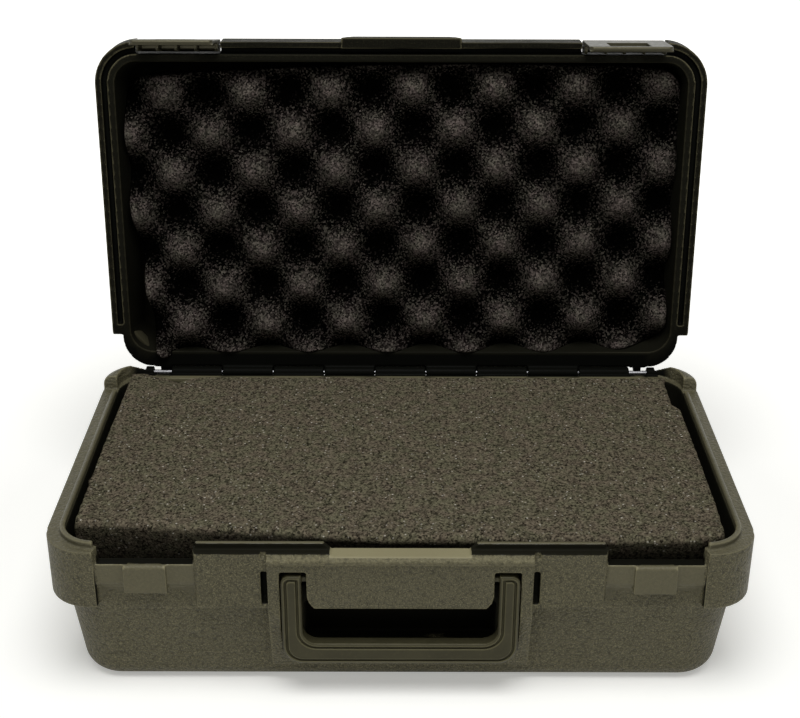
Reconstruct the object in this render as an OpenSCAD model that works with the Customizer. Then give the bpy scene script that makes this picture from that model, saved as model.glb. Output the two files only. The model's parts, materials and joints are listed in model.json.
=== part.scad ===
// Blow-moulded hard case, open on its hinge stop, with foam in the base and in the lid.
// X runs along the case, Y from the front to the hinge, Z up. The origin is the middle of the underside.

/* [Case] */
// Outside width of the base over its band
case_w = 406; // [380:1:460]
// Outside depth of the base over its band
case_d = 226; // [215:1:260]
// Height of the base from the floor to its rim
base_h = 98; // [90:1:130]
// Height of the closed lid above the base's rim
lid_h = 45; // [40:1:70]
// Radius of the band's corners, seen from above
corner_r = 26; // [22:1:34]
// Angle of the open lid from the closed lid
open_angle = 95; // [90:1:100]

/* [Base walls] */
// Height of the band under the rim
band_h = 37; // [34:1:44]
// How far the body stands back from the band
body_inset = 5.5; // [4:0.5:8]
// How far the body's wall leans in from the band down to the floor
base_lean = 8.5; // [4:0.5:12]
// Radius of the edge round the underside
base_edge_r = 12.5; // [8:0.5:14]
// Thickness of one skin of the double wall
skin = 2.5; // [1.5:0.1:3]
// Thickness of the double floor
floor_t = 9; // [8:0.5:12]
// Thickness of the base's end walls at the rim
end_wall = 11; // [10:0.5:14]
// Thickness of the base's front and rear walls at the rim
front_wall = 8; // [8:0.5:10]
// How far the cavity's walls lean in from the rim down to the floor
cavity_lean = 12; // [8:0.5:14]

/* [Rim] */
// Thickness of the rib round the rim
rib_t = 3.1; // [2.5:0.1:4]
// Height of the rib above the rim
rib_h = 4; // [3:0.1:6]
// Width of the low place in the middle of the front rim
shelf_w = 79; // [60:1:90]
// How deep the low place is
shelf_drop = 1.3; // [0.8:0.1:2]
// Height of the bumps at the rear corners
bump_h = 9; // [5:0.5:12]

/* [Lid walls] */
// Height of the lid's outer band
lid_band_h = 16; // [15:0.5:20]
// How far the lid's band stands in from the base's band at the ends
lid_band_inset = 3; // [2:0.5:4]
// How far the lid's body stands in from its band
lid_step = 7; // [6:0.5:9]
// Thickness of the lid's walls
lid_wall = 5.5; // [4:0.5:7]
// Thickness of the lid's double top
lid_top_t = 9; // [7:0.5:10]
// How far the lid's walls lean in towards its top
lid_lean = 6; // [2:0.5:8]
// Radius of the edge round the lid's top
lid_edge_r = 10; // [6:0.5:12]

/* [Hinge] */
// Radius of the hinge knuckles
knuckle_r = 4; // [3.5:0.1:4.5]
// Radius of the hinge rod
rod_r = 1.6; // [1.2:0.1:2]
// Number of knuckles in the row, an odd number
knuckles = 9; // [5:2:11]
// Gap between two knuckles
knuckle_gap = 0.6; // [0.4:0.1:1]
// Width of the ears that hold the ends of the rod
ear_w = 5.5; // [4:0.5:7]
// Distance of each ear from the end of the base
ear_inset = 30.5; // [29:0.5:34]
// Open space between each ear and the row of knuckles
ear_gap = 12.5; // [8:0.5:20]

/* [Latches] */
// Distance of a latch's middle from the end of the base
latch_inset = 58.8; // [57:0.1:65]
// Width of a latch
latch_w = 52.4; // [48:0.1:54]
// Thickness of a latch's plate
latch_t = 2.3; // [2:0.1:3]
// Height of a latch from its pivot down to its free edge
latch_drop = 39.5; // [36:0.5:41]
// Height of a latch's pivot above the rim
latch_pivot_h = 8; // [7.5:0.1:9]
// Radius of a latch's hub
latch_hub_r = 4; // [3.5:0.1:4.2]
// Radius of a latch pin
latch_pin_r = 1.5; // [1.2:0.1:1.8]
// Width of the catch block that a latch's window goes over
catch_w = 24; // [16:1:30]
// Height of the catch block
catch_h = 18; // [14:0.5:20]
// Angle at which the left latch stands open
latch_left_open = 7.5; // [1:0.5:60]
// Angle at which the right latch stands open
latch_right_open = 2.5; // [1:0.5:60]

/* [Handle] */
// Half of the handle's outside width
handle_half_w = 67.5; // [64:0.5:68]
// Width of the handle's arms
arm_w = 11.5; // [9:0.5:12]
// Height of the handle's grip bar
grip_h = 13.8; // [11:0.1:16]
// Height of the handle
handle_h = 60; // [52:1:62]
// Thickness of the handle
handle_t = 8; // [6:0.5:9]
// Distance of the handle's pivot below the rim
handle_pivot_drop = 17; // [16:0.5:20]
// Radius of the handle's stub pins
handle_pin_r = 1.8; // [1.4:0.1:2.2]
// Half of the width of the handle's bracket
bracket_half_w = 75; // [73:0.5:78]
// How far the bracket stands out from the band
bracket_out = 3; // [2.5:0.5:5]
// Depth of the finger pocket behind the handle's grip, from the band's face
pocket_depth = 21; // [14:1:24]

/* [Foam] */
// Thickness of the pad on the base's floor
pad_t = 12.7; // [8:0.1:20]
// Height of the foam block above the rim
foam_proud = 3; // [2:0.5:3.5]
// How far the front corners of the foam block draw back
foam_draw = 12; // [4:1:16]
// Thickness of the lid foam's solid base
crate_base = 14.5; // [8:0.5:14.5]
// Height of the lid foam's peaks above their base
crate_peak = 17; // [8:0.5:17]
// Distance between two peaks in a row of the lid foam
crate_pitch = 54.7; // [40:0.1:60]
// Distance between two rows of peaks
crate_row = 26.5; // [20:0.5:32]

/* [Clearances] */
// Gap between the lid and the base where the closed halves meet
rim_gap = 0.4; // [0.3:0.1:0.6]
// Gap round parts that turn
turn_gap = 0.5; // [0.4:0.1:0.6]
// Gap between a pin and its bore, on the radius
bore_gap = 0.05; // [0.05:0.01:0.1]
// Gap between a foam piece and the shell round it
foam_gap = 0.3; // [0.2:0.1:0.5]
// Gap between the open lid's stop heels and the base
stop_gap = 0.3; // [0.2:0.1:0.5]

/* [Hidden] */
$fn = 64;
over = 1;
half_w = case_w / 2;
half_d = case_d / 2;
rim = base_h;
band_z = rim - band_h;
lid_z = rim + rim_gap;
lid_top = rim + lid_h;

// How far the rib and the lid's band stop short of the rear
rear_stop = 25;

// Cavity of the base
cavity_hw = half_w - end_wall;
cavity_hd = half_d - front_wall;
cavity_r = corner_r - 6;
cavity_edge_r = 7;
cavity_slope = cavity_lean / (rim - floor_t);

// Body of the base under the band
body_hw = half_w - body_inset;
body_hd = half_d - body_inset;
body_r = corner_r + 6;

// Rim rib: a ring whose corners share an axis with the cavity's
rib_cx = cavity_hw - cavity_r;
rib_cy = cavity_hd - cavity_r;
rib_in = cavity_r + 0.5;
rib_r = rib_in + rib_t;
rib_end_y = cavity_hd - rear_stop;
rib_chamfer = 0.6;

// Hinge axis
axis_y = half_d + 2.5;
axis_z = rim;
turn_r = knuckle_r + turn_gap;
ear_x = half_w - ear_inset;
knuckle_span = 2 * (ear_x - ear_gap);
knuckle_w = (knuckle_span - (knuckles - 1) * knuckle_gap) / knuckles;

// Lid
lid_hw = half_w - lid_band_inset;
lid_band_r = corner_r + 2;
lid_band_end = half_d - rear_stop;
lid_body_hw = lid_hw - lid_step;
lid_body_front = half_d - lid_step;
lid_body_rear = half_d - 1;
lid_body_hd = (lid_body_front + lid_body_rear) / 2;
lid_body_y = (lid_body_rear - lid_body_front) / 2;
lid_body_r = corner_r - 4;
lid_cav_hw = lid_body_hw - lid_wall;
lid_cav_hd = lid_body_front - lid_wall;
lid_cav_r = lid_body_r - 6.5;
lid_cav_edge_r = 6;
lid_ceiling = lid_top - lid_top_t;
lid_band_top = rim + lid_band_h + rim_gap;
groove_gap = 0.4;

// Latch recesses and catches
latch_x = half_w - latch_inset;
recess_wide = latch_w + 5.2;
recess_narrow = latch_w + 2;
recess_depth = 5.8;
opening_h = 9;
rail_out = 3.8;
rail_h = 13;
catch_top = rim - opening_h;
catch_out = 6.2;
latch_y = -half_d + 3.4;
latch_z = rim + latch_pivot_h;
latch_face = latch_y - latch_hub_r;
latch_inner = latch_y + 3.6;
window_w = catch_w + 2;
window_gap = 0.8;
lip_t = 3.4;
pin_in = 5;

// Handle and its bracket
handle_y = -half_d + 0.7;
handle_z = rim - handle_pivot_drop;
handle_face = handle_y - handle_t / 2 - 0.2;
handle_top = handle_z + 3.4;
handle_foot = handle_top - handle_h;
arm_inner = handle_half_w - arm_w;
boss_hw = arm_inner - 3;
slot_hw = handle_half_w + 0.8;
recess_back = handle_face + handle_t + turn_gap;
slot_back = handle_y + 6;
slot_top = handle_top + 2.6;
boss_drop = 21.9;
boss_foot = handle_top - boss_drop;
pocket_hw = boss_hw + 2;
pocket_foot = handle_foot + 3.6;
pocket_top = boss_foot;
pocket_back = -half_d + pocket_depth;
pocket_wall = 3;
pin_end = boss_hw - 4;

// Foam
pad_top = floor_t + foam_gap + pad_t;
block_z = pad_top + foam_gap;
block_top = rim + foam_proud;
block_hw = lid_cav_hw - turn_gap - foam_gap;
block_hd = lid_cav_hd - turn_gap - foam_gap;
crate_hw = lid_cav_hw - 5;
crate_hd = lid_cav_hd - 5;
crate_back_hw = lid_cav_hw - lid_lean - lid_cav_edge_r - 0.5;
crate_back_hd = lid_cav_hd - lid_lean - lid_cav_edge_r - 0.5;
crate_corner = 14;
crate_pull = 7;
crate_back = lid_ceiling - foam_gap;
crate_x0 = 0.14 * crate_pitch;
crate_y0 = -lid_cav_hd + 11.1;
crate_skew_x = 0.057;
crate_skew_y = 0.023;
crate_cells_x = 40;
crate_cells_y = 23;

body_colour = [0.20, 0.19, 0.17];
smooth_colour = [0.28, 0.26, 0.23];
foam_colour = [0.16, 0.16, 0.17];
steel_colour = [0.62, 0.62, 0.64];

// A profile (x out from the corner's axis, y up) swept round a rounded rectangle of half sizes hw, hd
module swept(hw, hd, r) {
    for (sx = [-1, 1], sy = [-1, 1])
        translate([sx * (hw - r), sy * (hd - r), 0])
            rotate(sx > 0 ? (sy > 0 ? 0 : -90) : (sy > 0 ? 90 : 180))
                rotate_extrude(angle = 90) children();
    for (turn = [0, 180]) {
        rotate(turn) translate([hw - r, 0, 0]) rotate([90, 0, 0])
            linear_extrude(2 * (hd - r), center = true) children();
        rotate(turn) translate([0, hd - r, 0]) rotate([90, 0, 90])
            linear_extrude(2 * (hw - r), center = true) children();
    }
}

// The swept profile with its middle filled from z0 to z1
module filled(hw, hd, r, z0, z1) {
    swept(hw, hd, r) children();
    translate([r - hw, r - hd, z0]) cube([2 * (hw - r), 2 * (hd - r), z1 - z0]);
}

// Profile of a bowl: distance r at z1, leaning in by lean at z0, with a round edge at the foot
module bowl_profile(r, z0, z1, lean, edge) {
    k = lean / (z1 - z0);
    s = sqrt(1 + k * k);
    cx = r - lean + (k - s) * edge;
    polygon([[0, z0], [cx, z0], [cx, z0 + edge], [cx + edge / s, z0 + edge - edge * k / s], [r, z1],
        [0, z1]]);
    intersection() {
        translate([cx, z0 + edge]) circle(edge);
        translate([cx, z0]) square([2 * edge, edge]);
    }
}

// A bowl that opens upward, and the same shape upside down
module bowl(hw, hd, r, z0, z1, lean, edge) {
    filled(hw, hd, r, z0, z1) bowl_profile(r, z0, z1, lean, edge);
}
module dome(hw, hd, r, z0, z1, lean, edge) {
    translate([0, 0, z0 + z1]) mirror([0, 0, 1]) bowl(hw, hd, r, z0, z1, lean, edge);
}

// A bowl whose foot has two flat bevels in place of a round edge
module bevel_bowl(hw, hd, r, z0, z1, lean, edge) {
    foot = r - lean;
    filled(hw, hd, r, z0, z1) polygon([[0, z0], [foot - edge, z0], [foot - 0.3 * edge, z0 + 0.3 * edge],
        [foot + edge * lean / (z1 - z0), z0 + edge], [r, z1], [0, z1]]);
}

// Upright block with rounded corners
module block(hw, hd, r, z0, z1) {
    filled(hw, hd, r, z0, z1) translate([0, z0]) square([r, z1 - z0]);
}

// Box between two corners
module span(a, b) {
    translate(a) cube(b - a);
}

// An outline in (y, z) extruded along X, from x0 to x1
module along_x(x0, x1) {
    translate([x0, 0, 0]) rotate([90, 0, 90]) linear_extrude(x1 - x0) children();
}

// A round bar along X
module bar_x(x0, x1, y, z, r) {
    translate([x0, y, z]) rotate([0, 90, 0]) cylinder(h = x1 - x0, r = r);
}

module both_sides() {
    children();
    mirror([1, 0, 0]) children();
}

// Moves the closed lid, and what rides on it, to the open position
module opened() {
    translate([0, axis_y, axis_z]) rotate([-open_angle, 0, 0]) translate([0, -axis_y, -axis_z]) children();
}

// Left end of knuckle i
function knuckle_x(i) = -knuckle_span / 2 + i * (knuckle_w + knuckle_gap);

// Ring that follows the rim, from radius r0 to r1 about the cavity's corner axis
module rim_ring(r0, r1, z0, z1, chamfer = 0) {
    swept(rib_cx + r1, rib_cy + r1, r1)
        polygon([[r0, z0], [r1, z0], [r1, z1 - chamfer], [r1 - chamfer, z1], [r0 + chamfer, z1],
            [r0, z1 - chamfer]]);
}

// Rib round the rim: it leaves out the rear, the latch recesses and the middle of the front
module rim_rib() {
    end_hw = shelf_w / 2;
    difference() {
        rim_ring(rib_in, rib_r, rim - over, rim + rib_h, rib_chamfer);
        span([-half_w, rib_end_y, rim - 2 * over], [half_w, half_d, rim + rib_h + over]);
        both_sides() span([latch_x - recess_wide / 2, -half_d, rim - 2 * over],
            [latch_x + recess_wide / 2, 0, rim + rib_h + over]);
        translate([0, -half_d - over, 0]) rotate([-90, 0, 0]) mirror([0, 1, 0]) linear_extrude(half_d)
            polygon([[-end_hw, rim - 2 * over], [end_hw, rim - 2 * over], [end_hw, rim],
                [end_hw + rib_h + over, rim + rib_h + over], [-end_hw - rib_h - over, rim + rib_h + over],
                [-end_hw, rim]]);
    }
}

// Bumps at the rear corners, cut to clear the lid's swing
module corner_bumps() {
    edge = 4;
    mid = 1.2;
    top = rim + bump_h;
    r = corner_r;
    difference() {
        intersection() {
            filled(half_w, half_d, r, rim - over, top) polygon([[0, rim - over], [r, rim - over],
                [r, top - edge], [r - mid, top - mid], [r - edge, top], [0, top]]);
            both_sides() span([ear_x, lid_band_end + turn_gap, rim - over],
                [half_w + over, half_d + over, rim + bump_h + over]);
        }
        lid_swing();
    }
}

// Space that the lid's plan outline sweeps round the hinge axis
module lid_swing() {
    reach = 60;
    corner_reach = axis_y - lid_body_rear + lid_body_r;
    clear = turn_gap;
    body_x = lid_body_hw - lid_body_r;
    translate([0, axis_y, axis_z]) rotate([90, 0, 90]) rotate(90) rotate_extrude(angle = open_angle) {
        translate([axis_y - lid_body_rear - clear, -body_x]) square([reach, 2 * body_x]);
        translate([corner_reach, -lid_body_hw - clear]) square([reach, 2 * (lid_body_hw + clear)]);
        for (side = [-1, 1]) translate([corner_reach, side * body_x]) circle(lid_body_r + clear);
        translate([axis_y - lid_band_end - clear, -half_w - over]) square([reach, 2 * (half_w + over)]);
    }
}

// Outline of a base knuckle's web in (y, z)
module base_web() {
    polygon([[half_d - 2, axis_z - 14], [half_d, axis_z - 14], [axis_y + knuckle_r - 0.5, axis_z - 3],
        [axis_y + knuckle_r, axis_z], [half_d - 2, axis_z]]);
}

module base_knuckle(x0, x1) {
    along_x(x0, x1) base_web();
    bar_x(x0, x1, axis_y, axis_z, knuckle_r);
}

// Recess for a latch, in plan, wider at the band's face
module recess_plan() {
    translate([latch_x, -half_d]) polygon([[-recess_wide / 2, -over], [recess_wide / 2, -over],
        [recess_wide / 2, 0], [recess_narrow / 2, recess_depth], [-recess_narrow / 2, recess_depth],
        [-recess_wide / 2, 0]]);
}

module latch_recess() {
    translate([0, 0, band_z - over]) linear_extrude(band_h + 2 * over) recess_plan();
    span([latch_x - recess_narrow / 2, -half_d - over, catch_top],
        [latch_x + recess_narrow / 2, -cavity_hd + 5, rim + over]);
}

// Catch rail across a recess, and the block that holds the latch
module catch() {
    wall = -half_d + recess_depth;
    rail_face = wall - rail_out;
    block_face = wall - catch_out;
    slope = 1;
    along_x(latch_x - recess_narrow / 2 - over, latch_x + recess_narrow / 2 + over)
        polygon([[wall + over, catch_top], [rail_face, catch_top], [rail_face, catch_top - rail_h],
            [wall + over, catch_top - rail_h - rail_out - over]]);
    along_x(latch_x - catch_w / 2, latch_x + catch_w / 2)
        polygon([[wall + over, catch_top], [block_face + slope, catch_top], [block_face, catch_top - slope],
            [block_face, catch_top - catch_h], [wall + over, catch_top - catch_h]]);
}

// Groove between the bracket and the pad beside it, with the small notch over it
module pad_groove() {
    x0 = bracket_half_w;
    x1 = bracket_half_w + 4;
    along_x(x0, x1) polygon([[-half_d - 2 * bracket_out, rim - 10], [-half_d + 6, rim - 14],
        [-half_d + 6, band_z + 5], [-half_d - 2 * bracket_out, band_z - 1]]);
    along_x(x0 + 0.5, x1 - 0.5) polygon([[-half_d - 2 * bracket_out, rim + over], [-half_d + 3, rim + over],
        [-half_d + 3, rim - 3], [-half_d - 2 * bracket_out, rim - 5]]);
}

// Outline of the handle's bracket in (y, z): a bead along its top, a flat face and a long slope
module bracket_profile() {
    face = -half_d - bracket_out;
    bead_r = 1.7;
    slope_top = band_z - 3;
    slope_foot = base_edge_r + 1.5;
    inside = -half_d + 12;
    polygon([[inside, rim - 0.6], [-half_d, rim - 0.6], [face + 0.6, rim - 2.2], [face, rim - 3.6],
        [face, slope_top], [-half_d + 9.5, slope_foot], [inside, slope_foot]]);
    translate([face + bead_r - 1.3, rim - 3.6]) circle(bead_r);
}

// Recess that the handle folds into, around the boss that carries its pivots
module handle_recess() {
    front = -half_d - 3 * bracket_out;
    difference() {
        span([-slot_hw, front, handle_foot - 2.4], [slot_hw, recess_back, slot_top]);
        boss(front - over);
    }
    both_sides() span([boss_hw, front, handle_top - 10.4], [slot_hw, slot_back, slot_top]);
}

// The boss between the handle's arms, with its lower corners cut off
module boss(front) {
    cut = 4;
    translate([0, recess_back + over, 0]) rotate([90, 0, 0]) linear_extrude(recess_back + over - front)
        polygon([[-boss_hw, slot_top + over], [-boss_hw, boss_foot + 2 * cut],
            [-boss_hw + 1, boss_foot + cut], [-boss_hw + cut, boss_foot], [boss_hw - cut, boss_foot],
            [boss_hw - 1, boss_foot + cut], [boss_hw, boss_foot + 2 * cut], [boss_hw, slot_top + over]]);
}

// Pocket behind the handle's grip; its floor rises a little towards the back
module finger_pocket() {
    rise = 3;
    run = 12;
    along_x(-pocket_hw, pocket_hw) polygon([[-half_d - 3 * bracket_out, pocket_foot],
        [pocket_back - run, pocket_foot], [pocket_back, pocket_foot + rise], [pocket_back, pocket_top],
        [-half_d - 3 * bracket_out, pocket_top]]);
}

// Wall round the pocket, standing in the cavity
module pocket_housing() {
    span([-pocket_hw - pocket_wall, -half_d + 12, pocket_foot - pocket_wall],
        [pocket_hw + pocket_wall, pocket_back + pocket_wall, pocket_top + pocket_wall]);
}

// Space between the two skins of the base's floor, ends and rear wall
module base_void() {
    front = -cavity_hd + cavity_r + 3;
    void_top = rim - 12;
    hw = half_w - body_inset - skin;
    hd = half_d - body_inset - skin;
    intersection() {
        difference() {
            bevel_bowl(hw, hd, body_r - skin, skin, band_z, base_lean - 0.5, base_edge_r - skin);
            bevel_bowl(cavity_hw - band_h * cavity_slope + skin, cavity_hd - band_h * cavity_slope + skin,
                cavity_r, floor_t - skin, band_z + over,
                cavity_lean - band_h * cavity_slope, skin);
        }
        span([-half_w, front, 0], [half_w, half_d, void_top]);
    }
}

module base_outside() {
    bowl(body_hw, body_hd, body_r, 0, band_z + over, base_lean, base_edge_r);
    block(half_w, half_d, corner_r, band_z, rim);
}

// Space inside the base, carried on a little above the rim
module cavity() {
    extra = over * cavity_slope;
    bowl(cavity_hw + extra, cavity_hd + extra, cavity_r + extra, floor_t, rim + over, cavity_lean + extra,
        cavity_edge_r);
}

module base_shell() {
    color(body_colour) difference() {
        union() {
            difference() {
                union() {
                    base_outside();
                    along_x(-bracket_half_w, bracket_half_w) bracket_profile();
                }
                cavity();
                both_sides() latch_recess();
                both_sides() pad_groove();
                span([-shelf_w / 2, -half_d - 2 * bracket_out, rim - shelf_drop],
                    [shelf_w / 2, -cavity_hd + over, rim + over]);
                handle_recess();
            }
            pocket_housing();
            rim_rib();
            both_sides() catch();
            corner_bumps();
            for (i = [0 : 2 : knuckles - 1]) base_knuckle(knuckle_x(i), knuckle_x(i) + knuckle_w);
            both_sides() base_knuckle(ear_x, ear_x + ear_w);
        }
        finger_pocket();
        for (i = [1 : 2 : knuckles - 2])
            bar_x(knuckle_x(i) - knuckle_gap, knuckle_x(i) + knuckle_w + knuckle_gap, axis_y, axis_z, turn_r);
        bar_x(-ear_x - ear_w - over, ear_x + ear_w + over, axis_y, axis_z, rod_r);
        both_sides() bar_x(pin_end - turn_gap, boss_hw + over, handle_y, handle_z, handle_pin_r + bore_gap);
        base_void();
    }
}

module hinge_rod() {
    rod_end = ear_x + ear_w - 1;
    color(steel_colour) bar_x(-rod_end, rod_end, axis_y, axis_z, rod_r);
}

// Outline of a lid knuckle's web and its stop heel in (y, z), for the closed lid
module lid_web() {
    wall = axis_y - lid_body_rear;
    top = 3 * knuckle_r;
    heel_in = axis_y - half_d - stop_gap;
    heel_l = 9;
    translate([axis_y, axis_z]) {
        polygon([[-wall - 2.5, 1], [-wall - 2.5, top], [-wall, top], [knuckle_r - 0.5, 2.5],
            [knuckle_r - 0.1, 0], [0, 0]]);
        // The heel's face comes to stand stop_gap behind the base's rear wall when the lid is open
        rotate(open_angle) polygon([[-heel_in, 0], [-heel_in, -heel_l], [knuckle_r / 2, -heel_l],
            [knuckle_r / 2, 0]]);
    }
}

// Outline in (y, z) of the lip that goes over the base's knuckles from the lid's rear wall
module lid_hood() {
    wall = axis_y - lid_body_rear;
    out = turn_r + 1.6;
    translate([axis_y, axis_z])
        polygon([[-wall - 2.5, rim_gap + 1], [-wall - 2.5, 2 * out], [-wall, 2 * out], [0.6, out],
            [0.6, 0.5 * out]]);
}

module lid_shell_closed() {
    difference() {
        union() {
            intersection() {
                block(lid_hw, half_d, lid_band_r, lid_z, lid_band_top);
                span([-half_w, -half_d, lid_z], [half_w, lid_band_end, lid_band_top]);
            }
            translate([0, lid_body_y, 0])
                dome(lid_body_hw, lid_body_hd, lid_body_r, lid_z, lid_top, lid_lean, lid_edge_r);
            front_tab();
            for (i = [1 : 2 : knuckles - 2]) {
                along_x(knuckle_x(i), knuckle_x(i) + knuckle_w) lid_web();
                bar_x(knuckle_x(i), knuckle_x(i) + knuckle_w, axis_y, axis_z, knuckle_r);
            }
            along_x(-knuckle_span / 2, knuckle_span / 2) lid_hood();
        }
        dome(lid_cav_hw, lid_cav_hd, lid_cav_r, lid_z - over, lid_ceiling, lid_lean, lid_cav_edge_r);
        lid_groove();
        both_sides() lid_recess();
        for (i = [0 : 2 : knuckles - 1])
            bar_x(knuckle_x(i) - knuckle_gap, knuckle_x(i) + knuckle_w + knuckle_gap, axis_y, axis_z, turn_r);
        both_sides() bar_x(ear_x - turn_gap, ear_x + ear_w + turn_gap, axis_y, axis_z, turn_r);
        bar_x(-half_w, half_w, axis_y, axis_z, rod_r + bore_gap);
        lid_void();
    }
}

// Groove under the lid's band that takes the rim's rib
module lid_groove() {
    difference() {
        rim_ring(rib_in - groove_gap, rib_r + groove_gap, lid_z - over, rim + rib_h + 2 * groove_gap);
        span([-half_w, rib_end_y + turn_gap, 0], [half_w, half_d, lid_top]);
    }
}

// Recess over a latch's hub, with the bores for its pin
module lid_recess() {
    back = latch_y + latch_hub_r + turn_gap;
    side = turn_gap + 0.3;
    span([latch_x - latch_w / 2 - side, -half_d - over, lid_z - over],
        [latch_x + latch_w / 2 + side + 1.6, back, lid_band_top + over]);
    bar_x(latch_x - latch_w / 2 - pin_in, latch_x + latch_w / 2 + side + 1.6 + pin_in, latch_y, latch_z,
        latch_pin_r);
}

// Tab in the middle of the lid's front that goes down over the low place in the rim
module front_tab() {
    face = -half_d - bracket_out;
    hw = shelf_w / 2 - 0.5;
    foot = rim - shelf_drop + rim_gap;
    rise = 7;
    translate([0, -half_d + 4, 0]) rotate([90, 0, 0]) linear_extrude(-half_d + 4 - face)
        polygon([[-hw, foot], [hw, foot], [hw, foot + 1.4], [hw - rise, foot + rise],
            [-hw + rise, foot + rise], [-hw, foot + 1.4]]);
}

module lid_void() {
    inset = skin + lid_lean;
    translate([0, lid_body_y, 0])
        block(lid_body_hw - lid_edge_r - inset, lid_body_hd - lid_edge_r - inset, lid_cav_r,
            lid_ceiling + skin, lid_top - skin);
}

module lid_shell() {
    color(body_colour) opened() lid_shell_closed();
}

// Outline of a latch in (y, z), closed: its plate, with the lip under its window
module latch_closed() {
    foot = latch_z - latch_drop;
    window_foot = catch_top - catch_h - window_gap;
    window_top = catch_top + window_gap;
    x0 = -latch_w / 2;
    x1 = latch_w / 2;
    rib_half_t = 0.9;
    plate_in = latch_face + latch_t;
    rib_foot = window_top + 1;
    difference() {
        union() {
            along_x(x0, x1) {
                polygon([[latch_face, foot + 1], [latch_face, latch_z], [plate_in, latch_z], [plate_in, foot],
                    [latch_face + 1, foot]]);
                translate([latch_face, foot + 0.5]) square([lip_t, window_foot - foot - 0.5]);
            }
            bar_x(x0, x1, latch_y, latch_z, latch_hub_r);
            for (at = [rib_half_t / latch_w, 0.26, 0.49, 0.73, 1 - rib_half_t / latch_w])
                along_x(x0 + at * latch_w - rib_half_t, x0 + at * latch_w + rib_half_t)
                    polygon([[plate_in - 0.5, rib_foot], [latch_inner - 2, rib_foot],
                        [latch_inner, rib_foot + 2], [latch_inner, latch_z - 2], [plate_in - 0.5, latch_z]]);
        }
        span([-window_w / 2, latch_face - over, window_foot], [window_w / 2, latch_y + 4, window_top]);
        both_sides() translate([x1, latch_face - over, foot]) rotate([0, 45, 0])
            cube([3, 2 * lip_t, 3], center = true);
        bar_x(x0 - over, x1 + over, latch_y, latch_z, latch_pin_r + bore_gap);
    }
}

// A latch turned open about its pin, in the closed lid's frame
module latch_turned(side, angle) {
    translate([side * latch_x, latch_y, latch_z]) rotate([-angle, 0, 0]) translate([0, -latch_y, -latch_z])
        latch_closed();
}

module latch_left() {
    color(smooth_colour) opened() latch_turned(-1, latch_left_open);
}

module latch_right() {
    color(smooth_colour) opened() latch_turned(1, latch_right_open);
}

module latch_pin(side) {
    half_l = latch_w / 2 + pin_in;
    color(steel_colour) opened()
        bar_x(side * latch_x - half_l, side * latch_x + half_l, latch_y, latch_z, latch_pin_r);
}

module latch_pin_left() {
    latch_pin(-1);
}

module latch_pin_right() {
    latch_pin(1);
}

// Rounded U in (x, z), drawn in by inset on all its edges
module handle_outline(inset = 0) {
    outer_r = 12 - inset;
    inner_r = 8.5 + inset;
    top_r = 5 - inset;
    hw = handle_half_w - inset;
    inner_hw = arm_inner + inset;
    foot = handle_foot + inset;
    top = handle_top - inset;
    grip_top = handle_foot + grip_h - inset;
    difference() {
        union() {
            translate([-hw, foot + outer_r]) square([2 * hw, top - top_r - foot - outer_r]);
            translate([-hw + outer_r, foot]) square([2 * (hw - outer_r), outer_r]);
            translate([-hw + top_r, top - top_r - over]) square([2 * (hw - top_r), top_r + over]);
            for (side = [-1, 1]) {
                translate([side * (hw - outer_r), foot + outer_r]) circle(outer_r);
                translate([side * (hw - top_r), top - top_r]) circle(top_r);
            }
        }
        translate([-inner_hw, grip_top + inner_r]) square([2 * inner_hw, handle_h]);
        translate([-inner_hw + inner_r, grip_top]) square([2 * (inner_hw - inner_r), inner_r + over]);
        for (side = [-1, 1]) translate([side * (inner_hw - inner_r), grip_top + inner_r]) circle(inner_r);
    }
}

// A slice of the handle from depth y0 to y1 behind its face
module handle_slice(y0, y1, inset) {
    translate([0, handle_face + y1, 0]) rotate([90, 0, 0]) linear_extrude(y1 - y0) handle_outline(inset);
}

module handle() {
    edge = 0.8;
    lip = 1;
    groove_w = 1.4;
    groove_d = 1.6;
    color(smooth_colour) union() {
        difference() {
            union() {
                handle_slice(edge, handle_t - edge, 0);
                handle_slice(0, handle_t, edge);
            }
            difference() {
                handle_slice(-over, groove_d, lip + edge);
                handle_slice(-over, groove_d, lip + edge + groove_w);
            }
        }
        both_sides() bar_x(pin_end, arm_inner + over, handle_y, handle_z, handle_pin_r);
    }
}

module base_pad_foam() {
    gap = 3 * foam_gap;
    top_w = cavity_hw - (rim - pad_top) * cavity_slope - gap;
    top_d = cavity_hd - (rim - pad_top) * cavity_slope - gap;
    color(foam_colour) bowl(top_w, top_d, cavity_r - (rim - pad_top) * cavity_slope, floor_t + foam_gap,
        pad_top, pad_t * cavity_slope, cavity_edge_r - 1);
}

// Foam block: it leans as the cavity does, and the part above the rim fits inside the closed lid
module pluck_foam() {
    corner = 14;
    edge = 2;
    lean = (rim - block_z) * cavity_slope;
    low_hw = block_hw + 0.5;
    low_hd = cavity_hd - 3 * foam_gap;
    low_top = rim - 0.5;
    neck_z = low_top - 3 * edge;
    top_r = lid_cav_r - turn_gap - foam_gap;
    room = pocket_wall + 1;
    color(foam_colour) difference() {
        intersection() {
            union() {
                filled(low_hw, low_hd, corner, block_z, low_top) polygon([[0, block_z],
                    [corner - lean, block_z], [corner, low_top - edge], [corner - edge, low_top],
                    [0, low_top]]);
                filled(block_hw, block_hd, top_r, neck_z, block_top) polygon([[0, neck_z],
                    [top_r, neck_z], [top_r, block_top - edge], [top_r - edge, block_top],
                    [0, block_top]]);
            }
            linear_extrude(rim + bump_h) foam_plan(low_hd);
        }
        span([-pocket_hw - room, -half_d, 0], [pocket_hw + room, pocket_back + room, pocket_top + room]);
    }
}

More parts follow.
